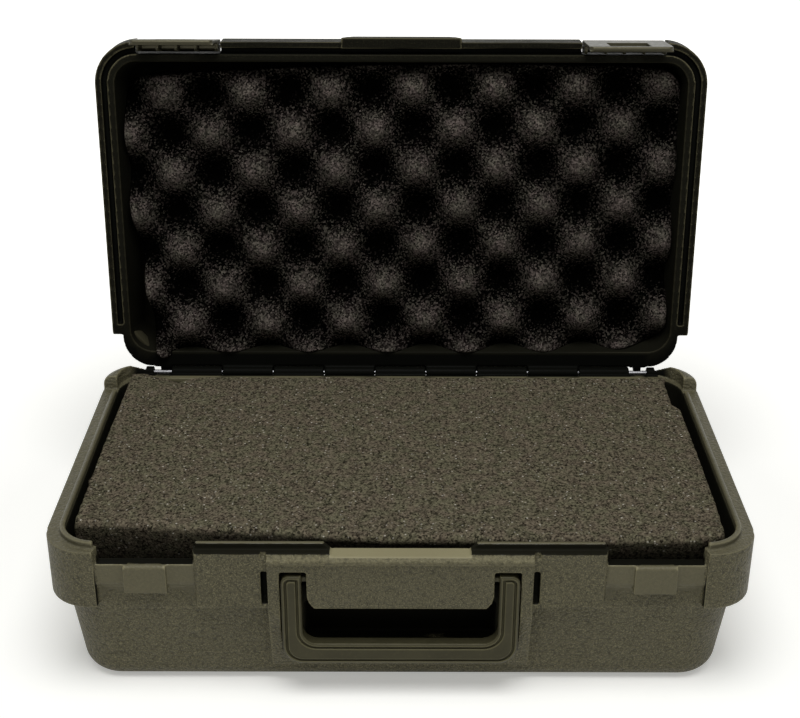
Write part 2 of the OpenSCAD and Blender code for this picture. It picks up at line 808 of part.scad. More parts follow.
// Plan of the foam block, with its front corners drawn back
module foam_plan(hd) {
    mid_x = 0.3 * block_hw;
    bend_x = 0.75 * block_hw;
    polygon([[-half_w, half_d], [-half_w, foam_draw - hd], [-bend_x, foam_draw / 2 - hd], [-mid_x, -hd],
        [mid_x, -hd], [bend_x, foam_draw / 2 - hd], [half_w, foam_draw - hd], [half_w, half_d]]);
}

// Surface of the lid foam: rows of peaks, each row moved by half a pitch
function crate_wave(x, y) = cos(360 * (x - crate_skew_x * y) / crate_pitch)
    * cos(180 * (y + crate_skew_y * x) / crate_row);
function crate_height(x, y) = crate_peak / 2 * (1 + crate_wave(x - crate_x0, y - crate_y0));

// A point of the front: the sides lean as the lid's walls do, and the corners draw in
function crate_point(x, y) =
    let (h = crate_height(x, y), near = max(0, abs(y) - crate_hd + crate_corner) / crate_corner,
        lean = lid_lean / (lid_ceiling - lid_z))
    [x * (1 - crate_pull / crate_hw * near * near), y * (1 + lean * h / crate_hd),
        crate_back - crate_base - h];

module crate() {
    nx = crate_cells_x;
    ny = crate_cells_y;
    xs = [for (i = [0 : nx]) 2 * i / nx - 1];
    ys = [for (j = [0 : ny]) 2 * j / ny - 1];
    front = [for (j = [0 : ny], i = [0 : nx]) crate_point(xs[i] * crate_hw, ys[j] * crate_hd)];
    back = [for (j = [0 : ny], i = [0 : nx]) [xs[i] * crate_back_hw, ys[j] * crate_back_hd, crate_back]];
    half = (nx + 1) * (ny + 1);
    function at(i, j) = j * (nx + 1) + i;
    rim_ids = concat([for (i = [0 : nx]) at(i, 0)], [for (j = [1 : ny]) at(nx, j)],
        [for (i = [nx - 1 : -1 : 0]) at(i, ny)], [for (j = [ny - 1 : -1 : 1]) at(0, j)]);
    n = len(rim_ids);
    centre = 2 * half;
    polyhedron(
        points = concat(front, back, [[0, 0, crate_back]]),
        faces = concat(
            [for (j = [0 : ny - 1], i = [0 : nx - 1]) [at(i, j), at(i + 1, j), at(i + 1, j + 1)]],
            [for (j = [0 : ny - 1], i = [0 : nx - 1]) [at(i, j), at(i + 1, j + 1), at(i, j + 1)]],
            [for (k = [0 : n - 1]) [rim_ids[k], half + rim_ids[k], rim_ids[(k + 1) % n]]],
            [for (k = [0 : n - 1]) [half + rim_ids[k], half + rim_ids[(k + 1) % n], rim_ids[(k + 1) % n]]],
            [for (k = [0 : n - 1]) [half + rim_ids[(k + 1) % n], half + rim_ids[k], centre]]));
}

module lid_foam() {
    color(foam_colour) opened() crate();
}

base_shell();
lid_shell();
hinge_rod();
latch_left();
latch_right();
latch_pin_left();
latch_pin_right();
handle();
base_pad_foam();
pluck_foam();
lid_foam();
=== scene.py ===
# Looks of the blow-moulded hard case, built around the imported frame. Lengths are in metres.
import json
import math
import bmesh
import bpy
from mathutils import Matrix, Vector, noise


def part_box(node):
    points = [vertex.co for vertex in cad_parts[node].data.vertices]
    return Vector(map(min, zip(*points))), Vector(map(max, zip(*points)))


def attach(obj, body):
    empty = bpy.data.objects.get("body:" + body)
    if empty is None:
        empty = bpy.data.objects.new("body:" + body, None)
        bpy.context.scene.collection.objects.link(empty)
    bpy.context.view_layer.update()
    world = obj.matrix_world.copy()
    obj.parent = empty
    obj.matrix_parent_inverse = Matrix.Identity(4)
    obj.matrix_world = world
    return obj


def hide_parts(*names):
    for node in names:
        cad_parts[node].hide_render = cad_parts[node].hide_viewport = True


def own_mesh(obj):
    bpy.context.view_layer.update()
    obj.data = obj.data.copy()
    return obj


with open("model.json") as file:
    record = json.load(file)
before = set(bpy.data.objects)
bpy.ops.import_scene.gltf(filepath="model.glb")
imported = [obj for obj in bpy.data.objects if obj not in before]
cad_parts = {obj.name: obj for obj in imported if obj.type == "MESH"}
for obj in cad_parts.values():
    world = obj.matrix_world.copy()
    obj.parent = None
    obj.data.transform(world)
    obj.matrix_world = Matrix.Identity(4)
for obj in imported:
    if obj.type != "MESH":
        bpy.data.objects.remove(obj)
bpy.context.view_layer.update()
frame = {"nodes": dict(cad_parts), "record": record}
MM = 0.001

# Camera, as fitted to the photograph
IMAGE_W = 800
FOCAL_PX = 1434.6
SENSOR_MM = 36.0
CAMERA_AT = (-0.0017, -0.7867, 0.5449)
CAMERA_PITCH = 25.82
CAMERA_YAW = -0.09
CAMERA_ROLL = 0.18

# The lid's hinge, and the moves between the open lid and the closed one
HINGE = next(j for j in frame["record"]["behaviour"]["joints"] if j["name"] == "lid_hinge")
HINGE_AT = Vector(HINGE["pos_m"])
LID_TURN = math.radians(HINGE["range_deg"][1])
CLOSE_LID = Matrix.Translation(HINGE_AT) @ Matrix.Rotation(LID_TURN, 4, "X") @ Matrix.Translation(-HINGE_AT)
OPEN_LID = CLOSE_LID.inverted()

# Sizes in millimetres that the looks share: half widths, half depths and corner radii of both cavities
RIM = HINGE_AT.z / MM
CAVITY_HW, CAVITY_HD, CAVITY_R = 192.0, 105.0, 20.0
CAVITY_SLOPE = 12.0 / 89.0
LID_CAVITY_HW, LID_CAVITY_HD, LID_CAVITY_R = 187.5, 100.5, 15.5
LID_SLOPE = 6.0 / 45.0


# Node helpers

class Nodes:
    """Short way to write a material's node tree."""

    def __init__(self, name):
        self.material = bpy.data.materials.new(name)
        self.material.use_nodes = True
        self.tree = self.material.node_tree
        self.shader = self.tree.nodes["Principled BSDF"]

    def add(self, kind, **values):
        node = self.tree.nodes.new(kind)
        for key, value in values.items():
            if key in node.inputs:
                node.inputs[key].default_value = value
            else:
                setattr(node, key, value)
        return node

    def link(self, source, target):
        self.tree.links.new(source, target)

    def feed(self, value, target):
        """Links a socket, or sets a value or a colour."""
        if hasattr(value, "is_output"):
            self.link(value, target)
        elif target.type == "RGBA":
            target.default_value = (*value, 1)
        else:
            target.default_value = value

    def mix(self, factor, a, b, blend="MIX"):
        node = self.add("ShaderNodeMix", data_type="RGBA", blend_type=blend)
        self.feed(factor, node.inputs[0])
        self.feed(a, node.inputs[6])
        self.feed(b, node.inputs[7])
        return node.outputs[2]

    def math(self, operation, a, b=0.0):
        node = self.add("ShaderNodeMath", operation=operation)
        self.feed(a, node.inputs[0])
        self.feed(b, node.inputs[1])
        return node.outputs[0]

    def spread(self, value, low, high, to_low=0.0, to_high=1.0):
        node = self.add("ShaderNodeMapRange")
        self.link(value, node.inputs["Value"])
        node.inputs["From Min"].default_value = low
        node.inputs["From Max"].default_value = high
        node.inputs["To Min"].default_value = to_low
        node.inputs["To Max"].default_value = to_high
        return node.outputs[0]

    def place(self):
        return self.add("ShaderNodeTexCoord").outputs["Object"]

    def noise(self, size, detail=2.0, output="Fac"):
        """Noise whose lumps are about size millimetres wide."""
        node = self.add("ShaderNodeTexNoise", Scale=1 / (size * MM), Detail=detail)
        self.link(self.place(), node.inputs["Vector"])
        return node.outputs[output]

    def cells(self, size, feature="F1", output="Distance"):
        """Cells about size millimetres wide."""
        node = self.add("ShaderNodeTexVoronoi", Scale=1 / (size * MM), feature=feature)
        self.link(self.place(), node.inputs["Vector"])
        return node.outputs[output]

    def painted(self, name):
        """A value that was painted on the mesh's vertices."""
        return self.add("ShaderNodeAttribute", attribute_name=name).outputs["Fac"]

    def bump(self, height, distance):
        """Bump of distance millimetres."""
        node = self.add("ShaderNodeBump", Strength=1.0, Distance=distance * MM)
        self.link(height, node.inputs["Height"])
        self.link(node.outputs[0], self.shader.inputs["Normal"])


def scaled(colour, share):
    return tuple(c * share for c in colour)


# Materials

def shell_material(name, specular):
    """Polyethylene, pebbled outside and smooth inside, as grain says. Tone is the hull's own colour outside
    and painted shade where it is near black; the pebbles get painted shade in their hollows and painted
    glints.
    """
    n = Nodes(name)
    dark = (0.0038, 0.0040, 0.0032)
    pale = (0.270, 0.245, 0.142)
    pebble_size, fleck_size, gloss_size, drift_size = 1.7, 0.8, 15.0, 60.0
    pebble_height = 1.1
    grain = n.painted("grain")
    pebbles = n.cells(pebble_size, "SMOOTH_F1")
    fine = n.noise(fleck_size, 3.0)
    drift = n.noise(drift_size, 3.0)
    colour = n.mix(n.painted("tone"), dark, pale)
    colour = n.mix(n.spread(drift, 0.3, 0.7, 0.0, 0.10), colour, dark)
    # Painted shade in the pebbles' hollows
    hollows = n.math("MULTIPLY", n.spread(pebbles, 0.3, 0.9), n.math("MULTIPLY", grain, 0.70))
    colour = n.mix(hollows, colour, dark)
    # Painted glints on the grain, as pale flecks
    fleck_glints = n.math("MULTIPLY", n.spread(fine, 0.50, 0.70), n.math("MULTIPLY", grain, 0.72))
    colour = n.mix(fleck_glints, colour, pale)
    # Painted highlight along convex edges, as edge says
    colour = n.mix(n.math("MULTIPLY", n.painted("edge"), 0.9), colour, scaled(pale, 0.9))
    n.link(colour, n.shader.inputs["Base Color"])
    height = n.math("SUBTRACT", n.math("MULTIPLY", fine, 0.6), pebbles)
    relief = n.math("ADD", n.math("MULTIPLY", grain, 0.95), 0.05)
    n.bump(n.math("MULTIPLY", height, relief), pebble_height)
    rough = n.spread(n.noise(gloss_size), 0.3, 0.7, 0.28, 0.38)
    n.link(n.math("ADD", rough, n.math("MULTIPLY", grain, 0.16)), n.shader.inputs["Roughness"])
    n.shader.inputs["Specular IOR Level"].default_value = specular
    return n.material


def smooth_material(name, colour, roughness, specular, tint):
    """Injection-moulded plastic: smooth, with faint flow marks, rubbed places and a painted highlight along
    its edges.
    """
    n = Nodes(name)
    drift_size, rub_size, skin_size = 25.0, 3.0, 0.9
    drift = n.noise(drift_size, 3.0)
    rubbed = n.noise(rub_size, 4.0)
    tone = n.mix(n.spread(drift, 0.3, 0.7), scaled(colour, 0.82), scaled(colour, 1.15))
    tone = n.mix(n.spread(rubbed, 0.55, 0.75, 0.0, 0.3), tone, scaled(colour, 1.7))
    # Painted highlight along convex edges
    tone = n.mix(n.math("MULTIPLY", n.painted("edge"), 0.6), tone, scaled(colour, 3.0))
    n.link(tone, n.shader.inputs["Base Color"])
    n.link(n.spread(rubbed, 0.3, 0.7, roughness - 0.04, roughness + 0.08), n.shader.inputs["Roughness"])
    n.bump(n.noise(skin_size, 3.0), 0.05)
    n.shader.inputs["Specular IOR Level"].default_value = specular
    n.shader.inputs["Specular Tint"].default_value = (*tint, 1)
    return n.material


def foam_colour(n, tone):
    """Adds the faint drift in hue that open-cell foam shows."""
    drift_size = 7.0
    greenish, pinkish = (0.98, 1.02, 0.98), (1.05, 0.985, 1.04)
    tint = n.mix(n.spread(n.noise(drift_size, 3.0), 0.38, 0.62), greenish, pinkish)
    return n.mix(1.0, tone, tint, "MULTIPLY")


def block_foam_material(name):
    """Fine open-cell foam with scattered white specks. Its cut sides are darker, as shade is painted."""
    n = Nodes(name)
    colour = (0.088, 0.078, 0.052)
    soft_size, crumb_size, pore_size, speck_size = 2.4, 1.0, 0.9, 3.6
    soft = n.noise(soft_size, 4.0)
    crumbs = n.cells(crumb_size, "F1", "Color")
    grain = n.math("ADD", n.math("MULTIPLY", crumbs, 0.6), n.math("MULTIPLY", soft, 0.8))
    tone = n.mix(n.spread(grain, 0.45, 0.95), scaled(colour, 0.22), scaled(colour, 1.90))
    tone = foam_colour(n, tone)
    specks = n.cells(speck_size)
    bright = n.cells(speck_size, "F1", "Color")
    shine = n.math("MULTIPLY", n.spread(specks, 0.20, 0.08), n.math("POWER", bright, 1.4))
    tone = n.mix(shine, tone, (0.60, 0.56, 0.48))
    tone = n.mix(n.painted("shade"), (0.001, 0.001, 0.001), tone)
    n.link(tone, n.shader.inputs["Base Color"])
    n.bump(n.math("ADD", n.cells(pore_size), soft), 0.35)
    n.shader.inputs["Roughness"].default_value = 1.0
    n.shader.inputs["Specular IOR Level"].default_value = 0.0
    return n.material


def lid_foam_material(name):
    """Convoluted foam: speckled peaks that fade to black hollows, as painted light and painted shade that
    follow the painted height.
    """
    n = Nodes(name)
    speckle_size = 1.0
    height = n.painted("height")
    speckle = n.cells(speckle_size, "F1", "Color")
    lift = n.math("ADD", speckle, n.math("MULTIPLY", height, 0.80))
    bright = n.math("POWER", n.spread(lift, 0.85, 1.80), 1.5)
    tone = n.mix(bright, (0.0008, 0.0008, 0.0007), (0.190, 0.165, 0.140))
    ground = n.spread(height, 0.45, 1.0, 0.0, 0.16)
    tone = n.mix(ground, tone, (0.060, 0.052, 0.044))
    tone = foam_colour(n, tone)
    n.link(tone, n.shader.inputs["Base Color"])
    n.bump(speckle, 0.3)
    n.shader.inputs["Roughness"].default_value = 1.0
    n.shader.inputs["Specular IOR Level"].default_value = 0.0
    return n.material


def steel_material(name):
    """Steel with faint drawing marks, dark grey: a painted reflection of the dark case around the rod."""
    n = Nodes(name)
    mark_size = 1.1
    n.shader.inputs["Metallic"].default_value = 1.0
    lines = n.noise(mark_size, 2.0)
    n.link(n.mix(lines, (0.14, 0.14, 0.145), (0.24, 0.24, 0.25)), n.shader.inputs["Base Color"])
    n.link(n.spread(lines, 0.3, 0.7, 0.22, 0.40), n.shader.inputs["Roughness"])
    return n.material


SHELL = shell_material("shell_plastic", specular=0.18)
# The same plastic, hardly reflecting, for the near-black faces of painted shade
SHADED_SHELL = shell_material("shell_plastic_shaded", specular=0.01)
LATCH = smooth_material("latch_plastic", (0.015, 0.014, 0.008), roughness=0.34, specular=0.42,
                        tint=(1.0, 0.92, 0.64))
HANDLE = smooth_material("handle_plastic", (0.047, 0.043, 0.023), roughness=0.36, specular=0.18,
                         tint=(1.0, 0.96, 0.80))
BLOCK_FOAM = block_foam_material("soft_foam")
LID_FOAM = lid_foam_material("lid_soft_foam")
STEEL = steel_material("pin_steel")


# Mesh helpers

def link_piece(name, mesh, material):
    piece = bpy.data.objects.new(name, mesh)
    bpy.context.scene.collection.objects.link(piece)
    piece.data.materials.clear()
    piece.data.materials.append(material)
    return piece


def settle(piece, body, slot, *nodes):
    """Hands a piece to its body, and hides the CAD nodes that it stands for. The slot is not used."""
    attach(piece, body)
    if nodes:
        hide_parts(*nodes)


def apply_modifiers(piece):
    depsgraph = bpy.context.evaluated_depsgraph_get()
    mesh = bpy.data.meshes.new_from_object(piece.evaluated_get(depsgraph))
    old = piece.data
    piece.modifiers.clear()
    piece.data = mesh
    bpy.data.meshes.remove(old)


def shade_smooth(piece):
    piece.data.polygons.foreach_set("use_smooth", [True] * len(piece.data.polygons))


def outer_skin(mesh):
    """Drops the sealed hollows inside a double wall, which are the loose parts that face inward."""
    weld = 0.002
    bm = bmesh.new()
    bm.from_mesh(mesh)
    bmesh.ops.remove_doubles(bm, verts=bm.verts, dist=weld * MM)
    seen = set()
    parts = []
    for face in bm.faces:
        if face in seen:
            continue
        stack, part = [face], []
        seen.add(face)
        while stack:
            current = stack.pop()
            part.append(current)
            for edge in current.edges:
                for other in edge.link_faces:
                    if other not in seen:
                        seen.add(other)
                        stack.append(other)
        parts.append(part)

    def volume(part):
        total = 0.0
        for face in part:
            first = face.verts[0].co
            for b, c in zip(face.verts[1:], face.verts[2:]):
                total += first.dot(b.co.cross(c.co)) / 6
        return total

    hollow = [face for part in parts if volume(part) < 0 for face in part]
    bmesh.ops.delete(bm, geom=hollow, context="FACES")
    bm.to_mesh(mesh)
    bm.free()


def softened(node, material, voxel, smooth_steps, keep_ratio):
    """A copy of a CAD node with its edges rounded as moulding rounds them."""
    mesh = frame["nodes"][node].data.copy()
    outer_skin(mesh)
    piece = link_piece(node + "_skin", mesh, material)
    remesh = piece.modifiers.new("Remesh", "REMESH")
    remesh.mode = "VOXEL"
    remesh.voxel_size = voxel * MM
    smooth = piece.modifiers.new("Smooth", "SMOOTH")
    smooth.iterations = smooth_steps
    fewer = piece.modifiers.new("Decimate", "DECIMATE")
    fewer.ratio = keep_ratio
    apply_modifiers(piece)
    shade_smooth(piece)
    return piece


def paint(piece, **values):
    """Paints named values on the vertices; each is a function of the place."""
    for name, value_at in values.items():
        paint_list(piece, name, [value_at(v.co) for v in piece.data.vertices])


def edges_of(piece):
    """How sharply the surface bends outward at each vertex: 0 where it is flat or hollow, 1 on an edge."""
    flat, sharp = 0.05, 0.15
    bm = bmesh.new()
    bm.from_mesh(piece.data)
    bends = []
    for vert in bm.verts:
        bend = sum(-vert.normal.dot((e.other_vert(vert).co - vert.co).normalized()) for e in vert.link_edges)
        bends.append(step_up(bend / len(vert.link_edges), flat, sharp))
    bm.free()
    return bends


def paint_list(piece, name, values):
    layer = piece.data.attributes.new(name, "FLOAT", "POINT")
    layer.data.foreach_set("value", values)


def step_up(value, low, high):
    """Goes smoothly from 0 at low to 1 at high."""
    t = min(1.0, max(0.0, (value - low) / (high - low)))
    return t * t * (3 - 2 * t)


def swell(distance, width):
    """A rounded bump: 1 in the middle and near 0 at twice the width."""
    return math.exp(-(distance / width) ** 2)


def along(points, x):
    """Height of an open polyline of (x, y) points at x."""
    for (x0, y0), (x1, y1) in zip(points, points[1:]):
        if x <= x1:
            break
    t = min(1.0, max(0.0, (x - x0) / (x1 - x0)))
    return y0 + (y1 - y0) * t


# Shells

def beyond(x, y, half_w, half_d, radius):
    """Distance outside a rounded rectangle, for x of 0 or more."""
    across, down = x - half_w + radius, abs(y) - half_d + radius
    return math.hypot(max(across, 0.0), max(down, 0.0)) - radius


# Finishes as (grain, tone, edge). Tone near 0.4 is the hull's own colour. In the cavities, recesses, grooves
# and under the lid the near-black tones are painted shade, and tones above the hull's are painted light.
# Edge scales a painted highlight along convex edges. LID_BAND is the band below the lid's edge, painted near
# black.
BLACK_SHADE = (0.0, 0.0, 0.0)
INNER_SHADE = (0.0, 0.02, 0.0)
HULL = (1.0, 0.40, 0.8)
LID_INNER_SHADE = (0.0, 0.02, 0.1)
LID_BAND = (0.3, 0.02, 0.10)
LID_HULL = (1.0, 0.38, 0.6)

# Finishes of places on the base. Each row has a range of x without its sign, of y and of z, in millimetres,
# and then the finish. FAR is an open end.
FAR = 1000.0
BASE_REAR_AND_SHELF = (
    # Knuckles behind the rear wall, and the outer edge of that wall's top, in black painted shade
    ((-FAR, 180), (113.2, FAR), (82, FAR), BLACK_SHADE),
    ((-FAR, 180), (109.3, FAR), (RIM - 1.2, FAR), BLACK_SHADE),
    # Top of the rear wall, with painted light on its up-facing face
    ((-FAR, 169), (101, FAR), (RIM - 2, FAR), (0.0, 0.50, 0.0)),
    # Low shelf in the middle of the front, with painted light on its up-facing top
    ((-FAR, 39.6), (-FAR, -104), (RIM - 1.8, FAR), (0.0, 1.0, 0.0)),
)
BASE_LATCH_FLOOR = (
    # Floor of a latch's recess, behind the catch rail, in black painted shade
    ((117, 171.6), (-110.4, -98), (87.5, 92), (0.0, 0.01, 0.0)),
)
BASE_FRONT = (
    # Rear of the finger pocket's floor, then the pocket and the recess that the handle folds into, which get
    # black painted shade
    ((-FAR, 56), (-98, -90), (27, 32.4), (1.0, 0.30, 0.0)),
    ((-FAR, 68.5), (-110.3, -91), (25, 89), (0.0, 0.03, 0.0)),
    # Bead along the top of the handle's bracket, with a painted highlight
    ((-FAR, 75), (-FAR, -113.5), (91.5, 97), (0.9, 0.62, 0.3)),
    # Slot beside the bracket, and the outer wall of a latch's recess, both in painted shade
    ((74.8, 79.6), (-112.3, -104), (60, 86), INNER_SHADE),
    ((172.2, 174), (-112.3, -104), (60, 86), INNER_SHADE),
    # Catch rail, and the block that holds the latch
    ((117, 171.6), (-113.8, -104), (70.2, FAR), (0.2, 0.46, 0.9)),
)


def finish_in(rows, x, y, z):
    """Finish of the first row whose box holds the place, or None."""
    for (x0, x1), (y0, y1), (z0, z1), finish in rows:
        if x0 < x < x1 and y0 < y < y1 and z0 < z < z1:
            return finish
    return None


def beyond_cavity(x, y):
    """Distance outside the base's cavity at the rim."""
    return beyond(x, y, CAVITY_HW, CAVITY_HD, CAVITY_R)


def rim_finish(x, y, z):
    """The rim with its rib. In front, beside the low shelf in the middle, both get near-black painted shade,
    with a painted highlight along the rib's crest.
    """
    rib_foot, rib_crest, rib_out = RIM + 0.5, RIM + 3.6, 4.2
    front_y, latch_x = -100, 118
    rib = z > rib_foot and beyond_cavity(x, y) < rib_out
    if y < front_y and x < latch_x:
        return (0.0, 0.42, 0.0) if rib and z > rib_crest else (0.0, 0.03, 0.0)
    if rib:
        return 0.1, 0.32, 0.5
    return 0.4, 0.34, 0.4


def base_finish(co):
    """Finish of the base at a place."""
    x, y, z = abs(co.x) / MM, co.y / MM, co.z / MM
    cavity_foot, skin = 8.5, 0.9
    bump_x, bump_y, bump_foot = 172, 88.5, RIM + 0.8
    rim_foot = RIM - 0.6
    finish = finish_in(BASE_REAR_AND_SHELF, x, y, z)
    if finish:
        return finish
    # The cavity's walls get painted shade
    lean = (RIM - z) * CAVITY_SLOPE
    if beyond_cavity(x, y) < skin - lean and cavity_foot < z < RIM + 0.5:
        return INNER_SHADE
    finish = finish_in(BASE_LATCH_FLOOR, x, y, z)
    if finish:
        return finish
    # Raised rear corners: painted shade on their inner side
    if x > bump_x and y > bump_y and z > bump_foot:
        outside = step_up(x, 183, 191)
        return 0.6 * outside, 0.33 * outside, 0.6
    if z > rim_foot:
        return rim_finish(x, y, z)
    return finish_in(BASE_FRONT, x, y, z) or HULL


def lid_finish(co):
    """Finish of the lid at a place, looked up on the closed lid."""
    p = CLOSE_LID @ co
    x, y, z = abs(p.x) / MM, p.y / MM, p.z / MM
    hood_y, hood_top = 112.2, RIM + 12
    skin, ceiling = 2.2, 135.5
    edge_top = RIM + 1.2
    groove_hw, groove_hd, groove_top = 196.5, 109.5, RIM + 5.5
    band_top, band_end = RIM + 16.6, 88.5
    # The hood over the knuckles gets black painted shade
    if y > hood_y and z < hood_top:
        return BLACK_SHADE
    # The cavity's walls get painted shade
    lean = (z - RIM) * LID_SLOPE
    if beyond(x, y, LID_CAVITY_HW, LID_CAVITY_HD, LID_CAVITY_R) < skin - lean and z < ceiling:
        return LID_INNER_SHADE
    # The lid's edge gets near-black painted shade with a painted highlight along its edges, both fading out
    # towards the hinge
    if z < edge_top:
        away = 1 - step_up(y, 75, 98)
        return 0.06 * away, 0.015 * away, 0.45 * away
    # The groove gets black painted shade
    if z < groove_top and x < groove_hw and abs(y) < groove_hd:
        return BLACK_SHADE
    if z < band_top and y < band_end:
        return LID_BAND
    return LID_HULL


def dress_shell(piece, finish_at):
    """Paints the finishes, and gives the near-black faces, which are mostly painted shade, a copy of the
    plastic that hardly reflects.
    """
    shaded_tone = 0.2
    painted = [finish_at(v.co) for v in piece.data.vertices]
    for name, values in zip(("grain", "tone"), zip(*painted)):
        paint_list(piece, name, values)
    # Edge is a painted highlight along convex edges
    paint_list(piece, "edge", [bend * finish[2] for bend, finish in zip(edges_of(piece), painted)])
    piece.data.materials.append(SHADED_SHELL)
    for face in piece.data.polygons:
        tone = sum(painted[i][1] for i in face.vertices) / len(face.vertices)
        face.material_index = int(tone < shaded_tone)


def shells():
    smooth_steps = 2
    voxel, keep = ((0.7, 0.11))
    for node, body, finish_at in (("base_shell", "base", base_finish), ("lid_shell", "lid", lid_finish)):
        piece = softened(node, SHELL, voxel, smooth_steps, keep)
        dress_shell(piece, finish_at)
        settle(piece, body, "shell_plastic", node)


def moving_parts():
    smooth_steps, keep = 2, 0.45
    for node, material, slot, voxel in (
        ("latch_left", LATCH, "latch_plastic", 0.4),
        ("latch_right", LATCH, "latch_plastic", 0.4),
        ("handle", HANDLE, "handle_plastic", 0.45),
    ):
        piece = softened(node, material, voxel, smooth_steps, keep)
        # Painted highlight along the part's edges
        paint_list(piece, "edge", edges_of(piece))
        settle(piece, node, slot, node)


def steel_parts():
    for node in ("hinge_rod", "latch_pin_left", "latch_pin_right"):
        mesh = frame["nodes"][node].data
        mesh.materials.clear()
        mesh.materials.append(STEEL)


def lid_trim(name, outlines, bevel, segments, tone):
    """Small prism on the lid between two outlines, given on the closed lid, with its edges bevelled."""
    bm = bmesh.new()
    ends = []
    for outline in outlines:
        ends.append([bm.verts.new(OPEN_LID @ (Vector(place) * MM)) for place in outline])
    first, last = ends
    bm.faces.new(first)
    bm.faces.new(last[::-1])
    for i in range(len(first)):
        j = (i + 1) % len(first)
        bm.faces.new((first[j], first[i], last[i], last[j]))
    bmesh.ops.recalc_face_normals(bm, faces=bm.faces)
    bmesh.ops.bevel(bm, geom=bm.edges[:], offset=bevel * MM, segments=segments, affect="EDGES", profile=0.5)
    mesh = bpy.data.meshes.new(name)
    bm.to_mesh(mesh)
    bm.free()
    piece = link_piece(name, mesh, SHADED_SHELL)
    shade_smooth(piece)
    # The trim has no grain and no edge highlight; its tone is painted shade
    paint(piece, grain=lambda co: 0.0, tone=lambda co: tone, edge=lambda co: 0.0)
    settle(piece, "lid", "shell_plastic")


def lid_gusset():
    """Small web across the lid's rear left corner, beside the foam."""
    top, foot = 104.0, 116.0
    thick = 2.5
    left, rear = Vector((-187.6, 86.0)), Vector((-174.2, 100.8))
    out = (rear - left).orthogonal().normalized() * thick
    ring = (left, rear, rear + out, left + out)
    outlines = [[(p.x, p.y, z) for p in ring] for z in (top, foot)]
    lid_trim("lid_gusset", outlines, bevel=0.7, segments=3, tone=0.15)


def lid_lips():
    """Ends of the lip that the lid's rear wall has over the rod, outside the row of knuckles."""
    wall, out, near = 6.0, 6.1, 3.1
    foot, thick, over_rod = 1.4, 2.5, 0.6
    rod_y, rod_z = HINGE_AT.y / MM, HINGE_AT.z / MM
    profile = ((-wall, foot), (-wall, 2 * out), (-wall + thick, 2 * out), (over_rod, out), (over_rod, near))
    for name, x0, x1 in (("lid_lip_left", -168.3, -159.5), ("lid_lip_right", 164.0, 169.0)):
        outlines = [[(x, rod_y + y, rod_z + z) for y, z in profile] for x in (x0, x1)]
        lid_trim(name, outlines, bevel=0.4, segments=2, tone=0.0)


# Foam

def eased(t):
    """Moves grid lines towards both ends of 0 to 1, where a block's edges are rounded."""
    ends = 0.75
    return (1 - ends) * t + ends * (0.5 - 0.5 * math.cos(math.pi * t))


def grid_steps(across, deep):
    """Steps of a foam piece's grid."""
    coarse = 1
    return across // coarse, deep // coarse


def grid_block(name, nx, ny, top, bottom, material, to_world):
    """Closed block between two surfaces. Each gives a point in millimetres for u and v in 0 to 1."""
    side_shares = (0.03, 0.35, 0.7, 0.97)
    us = [eased(i / nx) for i in range(nx + 1)]
    vs = [eased(j / ny) for j in range(ny + 1)]
    verts = [Vector(top(u, v)) for v in vs for u in us]
    half = len(verts)
    verts += [Vector(bottom(u, v)) for v in vs for u in us]

    def at(i, j):
        return j * (nx + 1) + i

    faces = []
    for j in range(ny):
        for i in range(nx):
            quad = (at(i, j), at(i + 1, j), at(i + 1, j + 1), at(i, j + 1))
            faces.append(quad)
            faces.append(tuple(half + k for k in reversed(quad)))
    ring = [at(i, 0) for i in range(nx)] + [at(nx, j) for j in range(ny)]
    ring += [at(i, ny) for i in range(nx, 0, -1)] + [at(0, j) for j in range(ny, 0, -1)]
    loops = [ring]
    for share in side_shares:
        loops.append([len(verts) + k for k in range(len(ring))])
        verts += [verts[k].lerp(verts[half + k], share) for k in ring]
    loops.append([half + k for k in ring])
    for upper, lower in zip(loops, loops[1:]):
        for k in range(len(ring)):
            following = (k + 1) % len(ring)
            faces.append((upper[following], upper[k], lower[k], lower[following]))
    mesh = bpy.data.meshes.new(name)
    mesh.from_pydata([to_world @ (v * MM) for v in verts], [], faces)
    bm = bmesh.new()
    bm.from_mesh(mesh)
    bmesh.ops.recalc_face_normals(bm, faces=bm.faces)
    bm.to_mesh(mesh)
    bm.free()
    piece = link_piece(name, mesh, material)
    shade_smooth(piece)
    return piece


def rounding(distance, radius):
    """How far a rounded edge has dropped at a distance in from the side."""
    if distance >= radius:
        return 0.0
    rest = radius - max(0.0, distance)
    return radius - math.sqrt(radius * radius - rest * rest)


# Foam block, cut by hand: its front edge as (x, y), and dents as (x, y, half width, half length, depth)
BLOCK_FOOT, BLOCK_TOP = (corner[2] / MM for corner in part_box("pluck_foam"))
BLOCK_FRONT = ((-188, -86), (-150, -87.5), (-120, -91.5), (-75, -94.5), (-10, -101), (120, -102),
               (170, -101), (187, -95))
BLOCK_DENTS = ((-172.5, 71.5, 3.0, 7.5, 3.0), (169.5, 70.0, 3.5, 6.0, 1.6), (-152, 97, 10.0, 4.0, 2.0))
BLOCK_LEFT, BLOCK_RIGHT, BLOCK_REAR = -188.0, 186.2, 102.5


def block_sides(y):
    """Left and right side of the foam block's top at a depth y: the left leans in, the right has a step."""
    nick = 1.1 * swell(y + 47, 3.0)
    left = BLOCK_LEFT - nick + 1.2 * step_up(y, -10, 80)
    right = BLOCK_RIGHT - 4.4 * step_up(y, 54, 63) + 2.2 * step_up(y, 92, 104)
    rough = 0.5 * noise.noise(Vector((0.0, y * 0.16, 3.0)))
    return left + rough, right - rough - 0.9 * step_up(-y, 60, 90)


